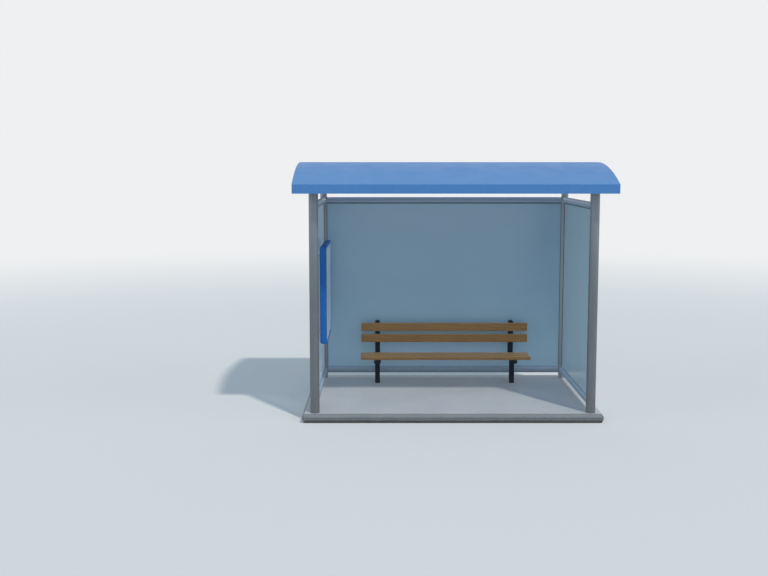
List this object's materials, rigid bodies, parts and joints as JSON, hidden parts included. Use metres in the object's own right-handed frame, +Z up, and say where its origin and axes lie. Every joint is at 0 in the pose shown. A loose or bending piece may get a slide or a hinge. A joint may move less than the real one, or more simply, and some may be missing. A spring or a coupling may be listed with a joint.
{
  "type": "bus shelter",
  "caption": "Open-fronted bus shelter with glass rear and side walls, a shallow arched roof, a slatted bench and a display case on a concrete slab.",
  "frame": {"origin": "centre of the slab's underside, which is the bottom centre of the whole shelter's box", "axes": "+X along the shelter's length to the right as seen from the open front, +Y from the open front to the rear glass, +Z up"},
  "size_m": [3.418, 2.43, 2.816],
  "materials": {
    "concrete": "cast, lightly worn",
    "frame_paint": "satin grey paint",
    "glass": "tinted, smooth",
    "gasket": "matt",
    "roof_panel": "satin blue paint",
    "roof_trim": "satin blue paint",
    "roof_frame": "satin grey paint",
    "case_paint": "satin blue paint",
    "case_panel": "brushed",
    "sheet": "matt, bare",
    "case_window": "clear, smooth",
    "fixings": "brushed",
    "bench_iron": "dark satin paint",
    "wood": "oiled slats"
  },
  "bodies": {
    "root": {"base_slab": "concrete", "post_front_left": "frame_paint", "post_front_right": "frame_paint", "post_rear_left": "frame_paint", "post_rear_right": "frame_paint", "top_rail_rear": "frame_paint", "top_rail_left": "frame_paint", "top_rail_right": "frame_paint", "bottom_rail_rear": "frame_paint", "bottom_rail_left": "frame_paint", "bottom_rail_right": "frame_paint", "glass_rear": "glass", "glass_left": "glass", "glass_right": "glass", "gasket_rear": "gasket", "gasket_left": "gasket", "gasket_right": "gasket", "roof_skin": "roof_panel", "roof_fascia_front": "roof_trim", "roof_fascia_rear": "roof_trim", "roof_end_left": "roof_trim", "roof_end_right": "roof_trim", "roof_ribs": "roof_frame", "roof_beam_front": "roof_frame", "roof_beam_rear": "roof_frame", "case_frame": "case_paint", "case_back_panel": "case_panel", "case_sheet": "sheet", "case_window": "case_window", "case_standoffs": "fixings", "bench_support_left": "bench_iron", "bench_support_right": "bench_iron", "seat_slat_front": "wood", "seat_slat_middle": "wood", "seat_slat_rear": "wood", "back_slat_lower": "wood", "back_slat_upper": "wood"}
  },
  "joints": []
}
